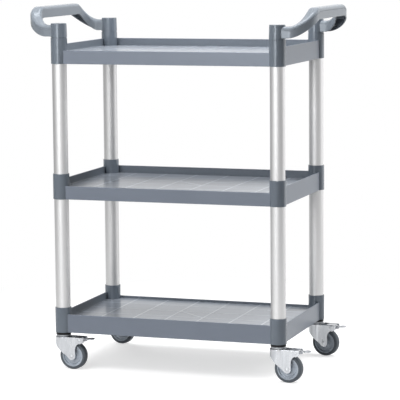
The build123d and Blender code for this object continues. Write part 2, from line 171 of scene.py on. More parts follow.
def finished(piece, skin, angle=40):
    """Smooths a piece and gives it its one material."""
    smooth(piece, angle)
    piece.data.materials.clear()
    piece.data.materials.append(skin)
    return piece


def joined(pieces):
    take(pieces[0])
    for piece in pieces[1:]:
        piece.select_set(True)
    bpy.ops.object.join()
    return pieces[0]


def copied(piece, place=Matrix()):
    """A copy with its own mesh, its place in the mesh."""
    copy = piece.copy()
    copy.data = piece.data.copy()
    copy.data.transform(place)
    bpy.context.collection.objects.link(copy)
    return copy


def settle(name):
    """Names the primitive just added and puts its place and size in its mesh."""
    piece = bpy.context.object
    piece.name = name
    bpy.ops.object.transform_apply(location=True, rotation=True, scale=True)
    return piece


def block(name, size, middle):
    bpy.ops.object.select_all(action="DESELECT")
    bpy.ops.mesh.primitive_cube_add(size=1, location=middle, scale=size)
    return settle(name)


def post(name, radius, low, high, sides=96):
    """A round post along Z."""
    bpy.ops.object.select_all(action="DESELECT")
    bpy.ops.mesh.primitive_cylinder_add(
        vertices=sides, radius=radius, depth=high - low, location=(0, 0, (low + high) / 2))
    return settle(name)


def drawn(name, points):
    """A chain of edges drawn point by point; the piece stays open for editing."""
    bpy.ops.object.select_all(action="DESELECT")
    bpy.ops.mesh.primitive_plane_add(size=MM, location=points[0])
    piece = settle(name)
    bpy.ops.object.mode_set(mode="EDIT")
    bpy.ops.mesh.select_mode(type="VERT")
    bpy.ops.mesh.select_all(action="SELECT")
    bpy.ops.mesh.merge(type="CENTER")
    for here, there in zip(points, points[1:]):
        extrude(Vector(there) - Vector(here))
    bpy.ops.mesh.select_all(action="SELECT")
    bpy.ops.mesh.remove_doubles(threshold=MM / 1000)
    return piece


def plate(name, outline, step):
    """A closed outline, filled and extruded."""
    piece = drawn(name, outline + outline[:1])
    bpy.ops.mesh.edge_face_add()
    extrude(step)
    bpy.ops.mesh.select_all(action="SELECT")
    bpy.ops.mesh.normals_make_consistent(inside=False)
    end()
    return piece


def turned(name, outline, upright=True, steps=96):
    """A lathe piece about Z, or about Y: (radius, height) points spun once round."""
    axis = Vector((0, 0, 1)) if upright else Vector((0, 1, 0))
    piece = drawn(name, [Vector((radius, 0, 0)) + axis * height for radius, height in outline])
    bpy.ops.mesh.spin(steps=steps, angle=2 * pi, center=(0, 0, 0), axis=axis)
    bpy.ops.mesh.select_all(action="SELECT")
    bpy.ops.mesh.remove_doubles(threshold=MM / 1000)
    bpy.ops.mesh.normals_make_consistent(inside=False)
    end()
    return piece


def arc(middle, radius, start, stop, steps):
    """Points of an arc, angles in degrees."""
    turns = [radians(start + (stop - start) * step / steps) for step in range(steps + 1)]
    return [(middle[0] + radius * cos(turn), middle[1] + radius * sin(turn)) for turn in turns]


def in_mm(outline):
    """An outline written in millimetres."""
    return [(radius * MM, height * MM) for radius, height in outline]


# Materials

def linear(colour):
    """sRGB hex to linear RGBA."""
    parts = [int(colour[start:start + 2], 16) / 255 for start in (1, 3, 5)]
    return [part / 12.92 if part <= 0.04045 else ((part + 0.055) / 1.055) ** 2.4 for part in parts] + [1]


def add(tree, kind, settings=None, links=None):
    """Adds a node: settings fill its sockets or options, links feed its sockets."""
    made = tree.nodes.new("ShaderNode" + kind)
    for name, value in (settings or {}).items():
        if isinstance(name, int) or name in made.inputs:
            made.inputs[name].default_value = value
        else:
            setattr(made, name, value)
    for name, source in (links or {}).items():
        tree.links.new(source, made.inputs[name])
    return made


def material(name):
    """An empty material, its tree and its Object coordinates."""
    made = bpy.data.materials.new(name)
    made.use_nodes = True
    made.node_tree.nodes.clear()
    place = add(made.node_tree, "TexCoord").outputs["Object"]
    return made, made.node_tree, place


def surface(tree, settings, links):
    shader = add(tree, "BsdfPrincipled", settings, links)
    add(tree, "OutputMaterial", {}, {"Surface": shader.outputs[0]})


def moulded_polypropylene(name, pale, deep, bright, dull, depth, gloss=0.5):
    """Injection-moulded polypropylene with faint flow clouds. A grained mould leaves a satin skin that
    spreads highlights, and a polished one a smooth skin that keeps them narrow. depth is the grain's, and
    gloss says how strongly the skin mirrors."""
    made, tree, place = material(name)
    flow = add(tree, "TexNoise", {"Scale": 1 / (90 * MM), "Detail": 3.0, "Distortion": 0.6},
               {"Vector": place})
    tint = add(tree, "Mix", {"data_type": "RGBA", 6: linear(deep), 7: linear(pale)},
               {0: flow.outputs["Fac"]})
    # Mould grain of 0.3 mm is too fine to show, so it is drawn at 1.5 mm
    grain = add(tree, "TexNoise", {"Scale": 1 / (1.5 * MM), "Detail": 2.0}, {"Vector": place})
    sheen = add(tree, "MapRange", {"To Min": bright, "To Max": dull}, {"Value": flow.outputs["Fac"]})
    skin = add(tree, "Bump", {"Strength": 0.12, "Distance": depth}, {"Height": grain.outputs["Fac"]})
    surface(tree, {"IOR": 1.49, "Specular IOR Level": gloss, "Specular Tint": (0.86, 0.93, 1, 1)}, {
        "Base Color": tint.outputs[2], "Roughness": sheen.outputs[0], "Normal": skin.outputs[0]})
    return made


def anodised_aluminium():
    """Drawn tube, satin anodised: fine lines along its length that blur what it mirrors."""
    made, tree, place = material("satin_anodised_aluminium")
    # Draw lines of 0.2 mm are too fine to show, so they are drawn 0.9 mm wide and 300 mm long
    along = add(tree, "Mapping", {"Scale": (1 / (0.9 * MM), 1 / (0.9 * MM), 1 / (300 * MM))},
                {"Vector": place})
    lines = add(tree, "TexNoise", {"Scale": 1.0, "Detail": 3.0}, {"Vector": along.outputs[0]})
    tint = add(tree, "Mix", {"data_type": "RGBA", 6: linear("#bebebf"), 7: linear("#cccccc")},
               {0: lines.outputs["Fac"]})
    sheen = add(tree, "MapRange", {"To Min": 0.48, "To Max": 0.56}, {"Value": lines.outputs["Fac"]})
    skin = add(tree, "Bump", {"Strength": 0.1, "Distance": 0.02 * MM}, {"Height": lines.outputs["Fac"]})
    surface(tree, {"Metallic": 1.0}, {
        "Base Color": tint.outputs[2], "Roughness": sheen.outputs[0], "Normal": skin.outputs[0]})
    return made


def zinc_plate(name, pale, deep, dull, bright):
    """Zinc plating over pressed or turned steel: silvery and a bit uneven, clouded in soft upright streaks
    that are partly the plating's own and partly painted reflection.
    """
    made, tree, place = material(name)
    drawn_out = add(tree, "Mapping", {"Scale": (1 / (9 * MM), 1 / (9 * MM), 1 / (50 * MM))},
                    {"Vector": place})
    # The upright streaks darken the colour: partly the plating's clouding, partly painted reflection
    cloud_and_painted_reflection = add(tree, "TexNoise", {"Scale": 1.0, "Detail": 2.0}, {"Vector": drawn_out.outputs[0]})
    tint = add(tree, "Mix", {"data_type": "RGBA", 6: linear(deep), 7: linear(pale)},
               {0: cloud_and_painted_reflection.outputs["Fac"]})
    sheen = add(tree, "MapRange", {"To Min": bright, "To Max": dull}, {"Value": cloud_and_painted_reflection.outputs["Fac"]})
    # The steel under it is rippled about every 3 mm
    ripple = add(tree, "TexNoise", {"Scale": 1 / (3 * MM), "Detail": 2.0}, {"Vector": place})
    skin = add(tree, "Bump", {"Strength": 0.15, "Distance": 0.03 * MM}, {"Height": ripple.outputs["Fac"]})
    surface(tree, {"Metallic": 1.0}, {
        "Base Color": tint.outputs[2], "Roughness": sheen.outputs[0], "Normal": skin.outputs[0]})
    return made


def rubbery(name, pale, deep, rough, grain_size):
    """Moulded nylon or thermoplastic rubber: dull, with a fine even grain."""
    made, tree, place = material(name)
    bloom = add(tree, "TexNoise", {"Scale": 1 / (18 * MM), "Detail": 4.0}, {"Vector": place})
    tint = add(tree, "Mix", {"data_type": "RGBA", 6: linear(deep), 7: linear(pale)},
               {0: bloom.outputs["Fac"]})
    # Mould grain of 0.2 mm is too fine to show, so it is drawn at the size given
    grain = add(tree, "TexNoise", {"Scale": 1 / grain_size, "Detail": 2.0}, {"Vector": place})
    sheen = add(tree, "MapRange", {"To Min": rough - 0.06, "To Max": rough + 0.06},
                {"Value": bloom.outputs["Fac"]})
    skin = add(tree, "Bump", {"Strength": 0.2, "Distance": 0.05 * MM}, {"Height": grain.outputs["Fac"]})
    surface(tree, {"IOR": 1.5, "Specular IOR Level": 0.25}, {
        "Base Color": tint.outputs[2], "Roughness": sheen.outputs[0], "Normal": skin.outputs[0]})
    return made


# Depth of the mould's grain
GRAINED, POLISHED = 0.04 * MM, 0.006 * MM
wall_moulding = moulded_polypropylene(
    "grained_polypropylene_wall", "#747b87", "#6c737f", 0.26, 0.34, GRAINED)
# Inside the trays the walls are coloured darker, painted shade, and given a duller skin
inner_painted_shade_moulding = moulded_polypropylene(
    "polypropylene_inside_painted_shade", "#6d747d", "#666d76", 0.32, 0.4, GRAINED, 0.3)
sleeve_moulding = moulded_polypropylene(
    "polished_polypropylene_sleeve", "#69717b", "#626a73", 0.13, 0.19, POLISHED)
handle_moulding = moulded_polypropylene(
    "polished_polypropylene_handle", "#7a8189", "#727981", 0.18, 0.24, POLISHED)
# The tray floor is coloured paler than the walls, painted light on the upward faces, over a grained skin
floor_grain_painted_light = moulded_polypropylene(
    "grained_polypropylene_floor", "#8f959e", "#878d96", 0.19, 0.26, GRAINED)
# The floor's lines are coloured far paler than the floor, painted highlight along them
floor_line_painted_highlight = moulded_polypropylene(
    "polished_polypropylene_line", "#b2b9c1", "#aab2ba", 0.14, 0.2, POLISHED)
tube_finish = anodised_aluminium()
# The fork's deep streak colour is far darker than its pale one: painted reflection in soft upright bands
fork_zinc = zinc_plate("bright_zinc_plate", "#cfd1d4", "#a4a7ac", 0.32, 0.2)
bolt_zinc = zinc_plate("turned_zinc_plate", "#cbcdd0", "#b4b7bb", 0.5, 0.4)
# The bearing cup is coloured darker than the other zinc, painted shade under the bush
race_zinc_painted_shade = zinc_plate("dull_zinc_plate_painted_shade", "#a4a7ab", "#8c8f93", 0.55, 0.45)
bush_nylon = rubbery("black_nylon", "#16171a", "#101113", 0.6, 0.8 * MM)
hub_moulding = moulded_polypropylene(
    "polished_polypropylene_hub", "#b4bcc6", "#acb4be", 0.2, 0.28, POLISHED)
tyre_rubber = rubbery("thermoplastic_rubber", "#5d636a", "#51575d", 0.58, 1.2 * MM)


# Trays

def line_bands():
    """Middles of the floor's lines along Y and along X."""
    along_y = [step * LINE_X for step in (-2.5, -1.5, -0.5, 0.5, 1.5, 2.5)]
    return along_y, [step * LINE_Y for step in (-1.5, -0.5, 0.5, 1.5)]


def corner_sleeve():
    """Round sleeve with a tube socket in each end."""
    sleeve = post("corner_sleeve", SLEEVE_RADIUS, 0, SLEEVE_HEIGHT)
    begin(sleeve)
    for way in (-1, 1):
        pick(sleeve, lambda middle, normal: normal.z * way > 0.9)
        bpy.ops.mesh.inset(thickness=SLEEVE_WALL)
        extrude((0, 0, -way * SOCKET_DEPTH))
    end()
    soften(sleeve, SLEEVE_EDGE)
    sleeve.data.materials.append(sleeve_moulding)
    return sleeve


def tray_moulding():
    """One tray, its low wall towards -Y: a block hollowed from above and below and ribbed, and its corner
    sleeves."""
    length, width = COLUMN_X + 2 * WALL_OFFSET, COLUMN_Y + 2 * WALL_OFFSET
    under_floor = FLOOR_TOP - FLOOR_THICKNESS
    tray = block("tray", (length, width, HIGH_WALL), (0, 0, HIGH_WALL / 2))
    for skin in (wall_moulding, floor_line_painted_highlight, floor_grain_painted_light, inner_painted_shade_moulding):
        tray.data.materials.append(skin)
    begin(tray)
    pick(tray, lambda middle, normal: normal.z > 0.9)
    bpy.ops.mesh.inset(thickness=TRAY_WALL)
    extrude((0, 0, FLOOR_TOP - HIGH_WALL))
    pick(tray, lambda middle, normal: normal.z < -0.9)
    bpy.ops.mesh.inset(thickness=TRAY_WALL)
    extrude((0, 0, under_floor))

    bpy.ops.mesh.select_all(action="SELECT")
    slice_at((-COLUMN_X / 2, 0, 0), (1, 0, 0))
    bpy.ops.mesh.select_all(action="SELECT")
    slice_at((COLUMN_X / 2, 0, 0), (1, 0, 0))
    pick(tray, lambda middle, normal: normal.z > 0.9 and middle.z > FLOOR_TOP + MM
         and middle.y < -COLUMN_Y / 2 and abs(middle.x) < COLUMN_X / 2)
    bpy.ops.transform.translate(value=(0, 0, LOW_WALL - HIGH_WALL))

    def paint(skin):
        """Gives what is selected one of the tray's materials."""
        tray.active_material_index = tray.data.materials.find(skin.name)
        bpy.ops.object.material_slot_assign()

    close, long_edge = MM / 100, 50 * MM

    def level(a, b, height):
        """Whether a long edge lies at this height."""
        return max(abs(a.z - height), abs(b.z - height)) < close and (a - b).length > long_edge

    pick_edges(tray, lambda a, b: level(a, b, HIGH_WALL) or level(a, b, LOW_WALL))
    bpy.ops.mesh.bevel(offset=RIM_ROUND, segments=4, affect="EDGES")
    pick_edges(tray, lambda a, b: level(a, b, FLOOR_TOP))
    bpy.ops.mesh.bevel(offset=FLOOR_ROUND, segments=5, affect="EDGES")
    pick_edges(tray, lambda a, b: level(a, b, 0))
    bpy.ops.mesh.bevel(offset=RIM_ROUND / 2, segments=3, affect="EDGES")

    # The inner faces of the walls get the darker inside colour, painted shade
    inner_x, inner_y = length / 2 - TRAY_WALL + MM / 10, width / 2 - TRAY_WALL + MM / 10
    pick(tray, lambda middle, normal: normal.z < 0.995 and middle.z > FLOOR_TOP
         and abs(middle.x) < inner_x and abs(middle.y) < inner_y)
    paint(inner_painted_shade_moulding)

    along_y, along_x = line_bands()
    slant = Vector((LINE_Y, LINE_X, 0)).normalized()

    def upper(middle, normal):
        return normal.z > 0.99 and abs(middle.z - FLOOR_TOP) < close

    def lower(middle, normal):
        return normal.z < -0.99 and abs(middle.z - under_floor) < close

    def mark_lines(face_of, width):
        """Cuts the grid and its one diagonal into a side of the floor, and leaves its bands selected."""
        for side in (-width / 2, width / 2):
            cuts = [((x + side, 0, 0), (1, 0, 0)) for x in along_y]
            cuts += [((0, y + side, 0), (0, 1, 0)) for y in along_x]
            for place, across in cuts:
                pick(tray, face_of)
                slice_at(place, across)
            pick(tray, lambda middle, normal: face_of(middle, normal)
                 and abs(middle.x) < (LINE_X - width) / 2 and abs(middle.y) < (LINE_Y - width) / 2)
            slice_at(slant * side, slant)

        def on_line(middle):
            near = [abs(middle.x - x) for x in along_y] + [abs(middle.y - y) for y in along_x]
            if abs(middle.x) < LINE_X / 2 and abs(middle.y) < LINE_Y / 2:
                near.append(abs(middle.dot(slant)))
            return min(near) < width / 3

        pick(tray, lambda middle, normal: face_of(middle, normal) and on_line(middle))

    # The floor's upper faces get the paler floor colour, painted light
    pick(tray, upper)
    paint(floor_grain_painted_light)
    mark_lines(upper, LINE_WIDTH)
    extrude((0, 0, LINE_HEIGHT))
    # The raised lines get the pale line colour, painted highlight
    paint(floor_line_painted_highlight)
    mark_lines(lower, RIB_WIDTH)
    extrude((0, 0, -RIB_DEPTH))
    end()

    sleeve = corner_sleeve()
    sleeves = []
    for side_x, side_y, _ in CORNERS.values():
        corner = Matrix.Translation((side_x * COLUMN_X / 2, side_y * COLUMN_Y / 2, 0))
        hollow = post("hollow", SLEEVE_RADIUS - SLEEVE_WALL / 2, -MM, SLEEVE_HEIGHT)
        hollow.data.transform(corner)
        carve(tray, hollow)
        sleeves.append(copied(sleeve, corner))
    bpy.data.objects.remove(sleeve)
    tray = joined([tray] + sleeves)
    smooth(tray)
    return tray


# Tubes

def upright():
    """Drawn tube between the webs of two trays, standing on Z = 0."""
    length = SHELF_PITCH - SLEEVE_WEB
    tube = post("upright", TUBE_RADIUS, 0, length, sides=128)
    begin(tube)
    pick(tube, lambda middle, normal: abs(normal.z) > 0.9)
    bpy.ops.mesh.delete(type="ONLY_FACE")
    end()
    apply(tube, "SOLIDIFY", thickness=TUBE_WALL, offset=-1)
    soften(tube, FINE_EDGE)
    return finished(tube, tube_finish)


# Push handles

def bar_place(distance):
    """Middle of the handle's bar and its heading, this far along it from the front upright."""
    root = HANDLE_REACH - HANDLE_TURN
    middle = root + HANDLE_TURN * (pi / 2 - 1) + COLUMN_Y / 2
    near = min(distance, 2 * middle - distance)
    heading = min(max(near - root, 0) / HANDLE_TURN, pi / 2)
    beyond = max(near - root - HANDLE_TURN * pi / 2, 0)
    x = min(near, root) + HANDLE_TURN * sin(heading)
    y = HANDLE_TURN * (1 - cos(heading)) + beyond - COLUMN_Y / 2
    share = min(max((near - root) / RISE_LENGTH, 0), 1)
    z = ARM_BOTTOM + BAR_HEIGHT / 2 + GRIP_RISE * share**2 * (3 - 2 * share)
    if distance > middle:
        return Vector((x, -y, z)), pi - heading
    return Vector((x, y, z)), heading


def bar_section():
    """Section of the bar, (across, up): a channel with a rounded top and a parting groove on its outside."""
    half, top, foot = BAR_WIDTH / 2, BAR_HEIGHT / 2, -BAR_HEIGHT / 2
    shoulder = top - BAR_ROUND
    outside = [(-half, foot + BAR_EDGE), (-half, shoulder - BAR_GROOVE),
               (-half + BAR_GROOVE / 2, shoulder - BAR_GROOVE / 2)]
    outside += arc((BAR_ROUND - half, shoulder), BAR_ROUND, 180, 90, 8)
    outside += arc((half - BAR_ROUND, shoulder), BAR_ROUND, 90, 0, 8)
    outside += [(half, foot + BAR_EDGE), (half - BAR_EDGE, foot)]
    thin, roof = half - BAR_SHELL, BAR_ROUND - BAR_SHELL
    inside = [(thin + BAR_EDGE, foot), (thin, foot + BAR_EDGE)]
    inside += arc((thin - roof, shoulder), roof, 0, 90, 8) + arc((roof - thin, shoulder), roof, 90, 180, 8)
    return outside + inside + [(-thin, foot + BAR_EDGE), (-thin - BAR_EDGE, foot), (-half + BAR_EDGE, foot)]


def rib_section():
    """Outline of a rib across the channel, its edges in the middle of the channel's sides and roof."""
    half, top = (BAR_WIDTH - BAR_SHELL) / 2, (BAR_HEIGHT - BAR_SHELL) / 2
    low, curve = BAR_RIB_RECESS - BAR_HEIGHT / 2, BAR_ROUND - BAR_SHELL / 2
    shoulders = arc((curve - half, top - curve), curve, 180, 90, 6)
    shoulders += arc((half - curve, top - curve), curve, 90, 0, 6)
    return [(-half, low)] + shoulders + [(half, low)]


def push_handle():
    """Handle of the +X end, seated on Z = 0: a channel section drawn once and extruded along the bar, ribs
    and two sleeves."""
    root = HANDLE_REACH - HANDLE_TURN
    length = 2 * (root + HANDLE_TURN * (pi / 2 - 1) + COLUMN_Y / 2)
    steps = 30
    rise = [root + RISE_LENGTH * step / steps for step in range(steps + 1)]
    stops = [BAR_START] + rise + [length - stop for stop in reversed(rise)] + [length - BAR_START]
    here, heading = bar_place(stops[0])
    points = [here + Vector((0, across, up)) for across, up in bar_section()]
    bar = drawn("handle_bar", points + points[:1])
    for stop in stops[1:]:
        there, turned_to = bar_place(stop)
        extrude(there - here)
        if turned_to != heading:
            # With no window, a rotation turns the other way
            bpy.ops.transform.rotate(value=heading - turned_to, orient_axis="Z", center_override=there)
        here, heading = there, turned_to
    bpy.ops.mesh.select_all(action="SELECT")
    bpy.ops.mesh.fill_holes(sides=0)
    bpy.ops.mesh.select_all(action="SELECT")
    bpy.ops.mesh.normals_make_consistent(inside=False)
    end()
    bar.data.materials.append(handle_moulding)

    pieces = [bar]
    rib = plate("handle_rib", [(-BAR_RIB / 2, across, up) for across, up in rib_section()], (BAR_RIB, 0, 0))
    rib.data.materials.append(handle_moulding)
    distance = length / 2 - BAR_RIB_PITCH / 2
    while distance > root:
        for stop in (distance, length - distance):
            there, turned_to = bar_place(stop)
            pieces.append(copied(rib, Matrix.Translation(there) @ Matrix.Rotation(turned_to, 4, "Z")))
        distance -= BAR_RIB_PITCH
    bpy.data.objects.remove(rib)

    bore = TUBE_RADIUS - SPIGOT_WALL
    rim = (SLEEVE_RADIUS - HANDLE_TAPER - SLEEVE_EDGE, HANDLE_SLEEVE - SLEEVE_EDGE)
    outline = [(0, HANDLE_SLEEVE)] + arc(rim, SLEEVE_EDGE, 90, 0, 4)
    outline += [(SLEEVE_RADIUS, SEAM), (SLEEVE_RADIUS - SEAM, SEAM), (SLEEVE_RADIUS - SEAM, 0),
                (TUBE_RADIUS, 0), (TUBE_RADIUS, -SPIGOT_LENGTH), (bore, -SPIGOT_LENGTH),
                (bore, HANDLE_SLEEVE - HANDLE_CAP), (0, HANDLE_SLEEVE - HANDLE_CAP)]
    sleeve = turned("handle_sleeve", outline)
    sleeve.data.materials.append(sleeve_moulding)
    pieces += [copied(sleeve, Matrix.Translation((0, side * COLUMN_Y / 2, 0))) for side in (-1, 1)]
    bpy.data.objects.remove(sleeve)
    handle = joined(pieces)
    smooth(handle)
    return handle


# Casters: each piece is made with the swivel axis at the origin and the wheel trailing towards +X.
# Outlines of wheels, bolts, nuts and pins are in millimetres: radius, distance along the axle or pin

def on_axle(piece):
    piece.data.transform(Matrix.Translation((TRAIL, 0, WHEEL_RADIUS)))
    return piece


def caster_bush():
    bush = turned("bush", [
        (STEM_RADIUS, RACE_TOP), (BUSH_COLLAR, RACE_TOP), (BUSH_COLLAR, TRAY_BASE), (TUBE_RADIUS, TRAY_BASE),
        (TUBE_RADIUS, TRAY_BASE + BUSH_LENGTH), (STEM_RADIUS, TRAY_BASE + BUSH_LENGTH),
        (STEM_RADIUS, RACE_TOP)])
    soften(bush, FINE_EDGE)
    return finished(bush, bush_nylon)


def race():
    """Pressed cup over the bearing balls, its edge rolled."""
    low, roof = FORK_TOP + 0.6 * MM, RACE_TOP - 2 * MM
    sheet, roll = 1.5 * MM, 1.8 * MM
    edge = arc((RACE_RADIUS - roll, RACE_TOP - roll), roll, 90, 0, 6)
    cup = turned("bearing_cup", [(STEM_RADIUS, RACE_TOP)] + edge + [
        (RACE_RADIUS, low), (RACE_RADIUS - sheet, low), (RACE_RADIUS - sheet, roof),
        (STEM_RADIUS, roof), (STEM_RADIUS, RACE_TOP)])
    soften(cup, FINE_EDGE)
    return finished(cup, race_zinc_painted_shade)


def fork_plan(inset, rear):
    """Outline of the fork from above: round housing, two cheeks."""
    radius, half = HOUSING_RADIUS - inset, CHEEK - inset
    meet = asin(half / radius) * 180 / pi
    return [(rear, -half)] + arc((0, 0), radius, 360 - meet, meet, 56) + [(rear, half)]


def fork_side():
    """Outline of the fork from the side: nose, head, rear strip, wheel arch, leg."""
    nose = (-HOUSING_RADIUS - MM, CHEEK_LOW)
    run = (TRAIL - nose[0], WHEEL_RADIUS - nose[1])
    heading = atan2(run[1], run[0]) - asin(LEG_RADIUS / hypot(*run))
    leg_back, top, corner = TRAIL + LEG_RADIUS, FORK_TOP + MM, 4 * MM
    rear = (FORK_REAR - corner, CHEEK_LOW + corner)
    leg = arc((TRAIL, WHEEL_RADIUS), LEG_RADIUS, 0, heading * 180 / pi - 90, 16)
    arch = arc((leg_back + WHEEL_ARCH, CHEEK_LOW - WHEEL_ARCH), WHEEL_ARCH, 90, 180, 14)
    return [nose, (nose[0], top), (FORK_REAR, top)] + arc(rear, corner, 0, -90, 6) + arch + leg


def fork():
    """Pressed steel fork: the plan's block rounded over its top edge, hollowed and trimmed to its side."""
    body = plate("pressed_fork", [(x, y, 0) for x, y in fork_plan(0, FORK_REAR)], (0, 0, FORK_TOP))
    begin(body)
    pick_edges(body, lambda a, b: min(a.z, b.z) > FORK_TOP - MM)
    bpy.ops.mesh.bevel(offset=FORK_ROUND, segments=4, affect="EDGES")
    end()
    # The cutting tools reach past the fork's edges
    beyond, wide = 3 * MM, 30 * MM
    inner = fork_plan(FORK_SHEET, FORK_REAR + beyond)
    carve(body, plate("hollow", [(x, y, -MM) for x, y in inner], (0, 0, FORK_TOP - FORK_SHEET + MM)))
    side = plate("side", [(x, -wide, z) for x, z in fork_side()], (0, 2 * wide, 0))
    carve(body, side, "INTERSECT")
    half = CHEEK - FORK_SHEET
    slot = FORK_REAR - HEAD_LENGTH + beyond
    carve(body, block("slot", (slot, 2 * half, 10 * MM), (HEAD_LENGTH + slot / 2, 0, FORK_TOP)))
    soften(body, PRESSED_EDGE, segments=2)
    return finished(body, fork_zinc)


def axle_bolt():
    """Axle with a low domed head on the front side."""
    head = [(0, -19.5), (2, -19.4), (3.8, -18.9), (5, -18.1), (5.5, -17.3), (5.5, -17)]
    shank = [(3, -17), (3, 23), (2.5, 23.5), (0, 23.5)]
    bolt = turned("domed_bolt", in_mm(head + shank), upright=False, steps=48)
    return finished(on_axle(bolt), bolt_zinc)


def axle_nut():
    """Hexagon nut with chamfered corners and a round collar."""
    across_flats, thickness, middle = 10 * MM, 4 * MM, 19 * MM
    bpy.ops.object.select_all(action="DESELECT")
    bpy.ops.mesh.primitive_cylinder_add(
        vertices=6, radius=across_flats / sqrt(3), depth=thickness, location=(0, middle, 0),
        rotation=(pi / 2, 0, 0))
    nut = settle("hexagon_nut")
    chamfer = [(0, 16.5), (5.3, 16.5), (5.85, 17.6), (5.85, 20.4), (5.2, 21.5), (0, 21.5)]
    carve(nut, turned("chamfer", in_mm(chamfer), upright=False, steps=48), "INTERSECT")
    collar = [(3, 20), (4.6, 20), (4.6, 21.6), (4.2, 22), (3, 22), (3, 20)]
    nut = joined([nut, turned("collar", in_mm(collar), upright=False, steps=48)])
    return finished(on_axle(nut), bolt_zinc, angle=25)


def wheel_hub():
    """Moulded hub: rim, dished web with a raised ring, boss; one side drawn and mirrored."""
    boss = [(5.05, 13.5), (9.6, 13.5), (10, 13.1), (10.4, 6), (11.2, 5), (12.2, 4.5)]
    ring = [(17.6, 4.5), (18.4, 4.8), (19, 5.7), (19.5, 6), (20.5, 6), (21, 5.7), (21.6, 4.8), (22.4, 4.5)]
    rim = [(23.4, 4.6), (24.2, 5.2), (24.8, 6.4), (25.2, 9.4), (25.7, 10), (28, 10), (28.45, 9.6)]
    side = boss + ring + rim
    outline = side + [(radius, -y) for radius, y in reversed(side)] + side[:1]
    hub = turned("dished_hub", in_mm(outline), upright=False)
    return finished(on_axle(hub), hub_moulding)


def tyre():
    """Moulded tread with round shoulders and a fine step on each side."""
    side = [(28.5, 10.6), (28.9, 11), (29.9, 11), (30.2, 10.8)] + arc((31, 6), 5, 90, 0, 10)
    outline = side + [(radius, -y) for radius, y in reversed(side)] + side[:1]
    tread = turned("tread", in_mm(outline), upright=False, steps=128)
    return finished(on_axle(tread), tyre_rubber)


def at_brake(piece):
    piece.data.transform(Matrix.Translation((BRAKE_X, 0, BRAKE_Z)))
    return piece


def brake_pin():
    """Hinge pin with a domed head outside each cheek."""
    side = [(0, 18.5), (2, 18.4), (3.3, 18), (4, 17.4), (4, 17), (2.5, 17)]
    outline = side + [(radius, -y) for radius, y in reversed(side)]
    pin = turned("hinge_pin", in_mm(outline), upright=False, steps=40)
    return finished(at_brake(pin), bolt_zinc)


def brake_pedal():
    """Pressed lever, stepped down from its root plate to a neck and an oval ridged pad; hinge barrel, and
    the shoe that meets the tyre."""
    bend = ROOT_REAR + 0.7 * MM
    under = [(-ROOT_FRONT, ROOT_LIFT), (bend, ROOT_LIFT), (ROOT_REAR + STEP_LENGTH, NECK_LIFT),
             (PEDAL_REACH, NECK_LIFT)]
    profile = under + [(x, z + PEDAL_SHEET) for x, z in reversed(under)]
    lever = plate("foot_lever", [(x, -PEDAL_HALF, z) for x, z in profile], (0, 2 * PEDAL_HALF, 0))
    pad_middle, fillet = PEDAL_REACH - PAD_LENGTH / 2, 4 * MM
    meet = asin(NECK_HALF / PAD_HALF)
    pad = [(pad_middle - PAD_LENGTH / 2 * cos(turn), -PAD_HALF * sin(turn))
           for turn in [meet + (pi - meet) * step / 20 for step in range(20)]]
    corner = [(x, -y) for x, y in arc((ROOT_REAR + fillet, NECK_HALF + fillet), fillet, 180, 270, 4)]
    near = [(-ROOT_FRONT - MM, -PEDAL_HALF - MM), (ROOT_REAR, -PEDAL_HALF - MM)] + corner + pad
    plan = near + [(PEDAL_REACH, 0)] + [(x, -y) for x, y in reversed(near)]
    cutter = plate("plan", [(x, y, 0) for x, y in plan], (0, 0, ROOT_LIFT + 2 * PEDAL_SHEET))
    carve(lever, cutter, "INTERSECT")
    soften(lever, PEDAL_EDGE)
    barrel = turned("barrel", [
        (PIN_BORE, -PEDAL_HALF), (PEDAL_BARREL, -PEDAL_HALF), (PEDAL_BARREL, PEDAL_HALF),
        (PIN_BORE, PEDAL_HALF), (PIN_BORE, -PEDAL_HALF)], upright=False, steps=48)
    soften(barrel, PRESSED_EDGE)
    reach = hypot(TRAIL - BRAKE_X, WHEEL_RADIUS - BRAKE_Z) - WHEEL_RADIUS - SHOE_GAP
    toward = atan2(WHEEL_RADIUS - BRAKE_Z, TRAIL - BRAKE_X) + BRAKE_TRAVEL
    shoe_root, shoe_sheet = 3 * MM, 5 * MM
    shoe = block("shoe", (reach - shoe_root, 2 * PEDAL_HALF, shoe_sheet), ((reach + shoe_root) / 2, 0, 0))
    soften(shoe, SHOE_EDGE, segments=4)
    shoe.data.transform(Matrix.Rotation(-toward, 4, "Y"))
    pieces = [lever, barrel, shoe]
    ridge_size, ridge_pitch = (1.4 * MM, 14 * MM, 1.6 * MM), 4 * MM
    for step in (-1, 0, 1):
        ridge = block("ridge", ridge_size, (pad_middle + step * ridge_pitch, 0, NECK_LIFT + PEDAL_SHEET))
        soften(ridge, PEDAL_EDGE)
        pieces.append(ridge)
    return finished(at_brake(joined(pieces)), fork_zinc)


# The trolley put together

def set_piece(pattern, name, body, node, place=Matrix()):
    """Puts a copy of a finished piece in its place, on its body."""
    piece = copied(pattern, place)
    piece.name = name
    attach(piece, body)
    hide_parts(node)


tray, tube, handle = tray_moulding(), upright(), push_handle()
half_turn = Matrix.Rotation(pi, 4, "Z")
# The bottom tray is turned end for end, so that its low wall is at the back
for shelf, (name, turn) in enumerate((("bottom", half_turn), ("middle", Matrix()), ("top", Matrix()))):
    set_piece(tray, f"{name}_tray_moulding", "frame", f"{name}_tray",
              Matrix.Translation((0, 0, TRAY_BASE + shelf * SHELF_PITCH)) @ turn)
for name, side, turn in (("right", 1, Matrix()), ("left", -1, half_turn)):
    set_piece(handle, f"{name}_push_handle", "frame", f"{name}_handle",
              Matrix.Translation((side * COLUMN_X / 2, 0, HANDLE_SEAT)) @ turn)

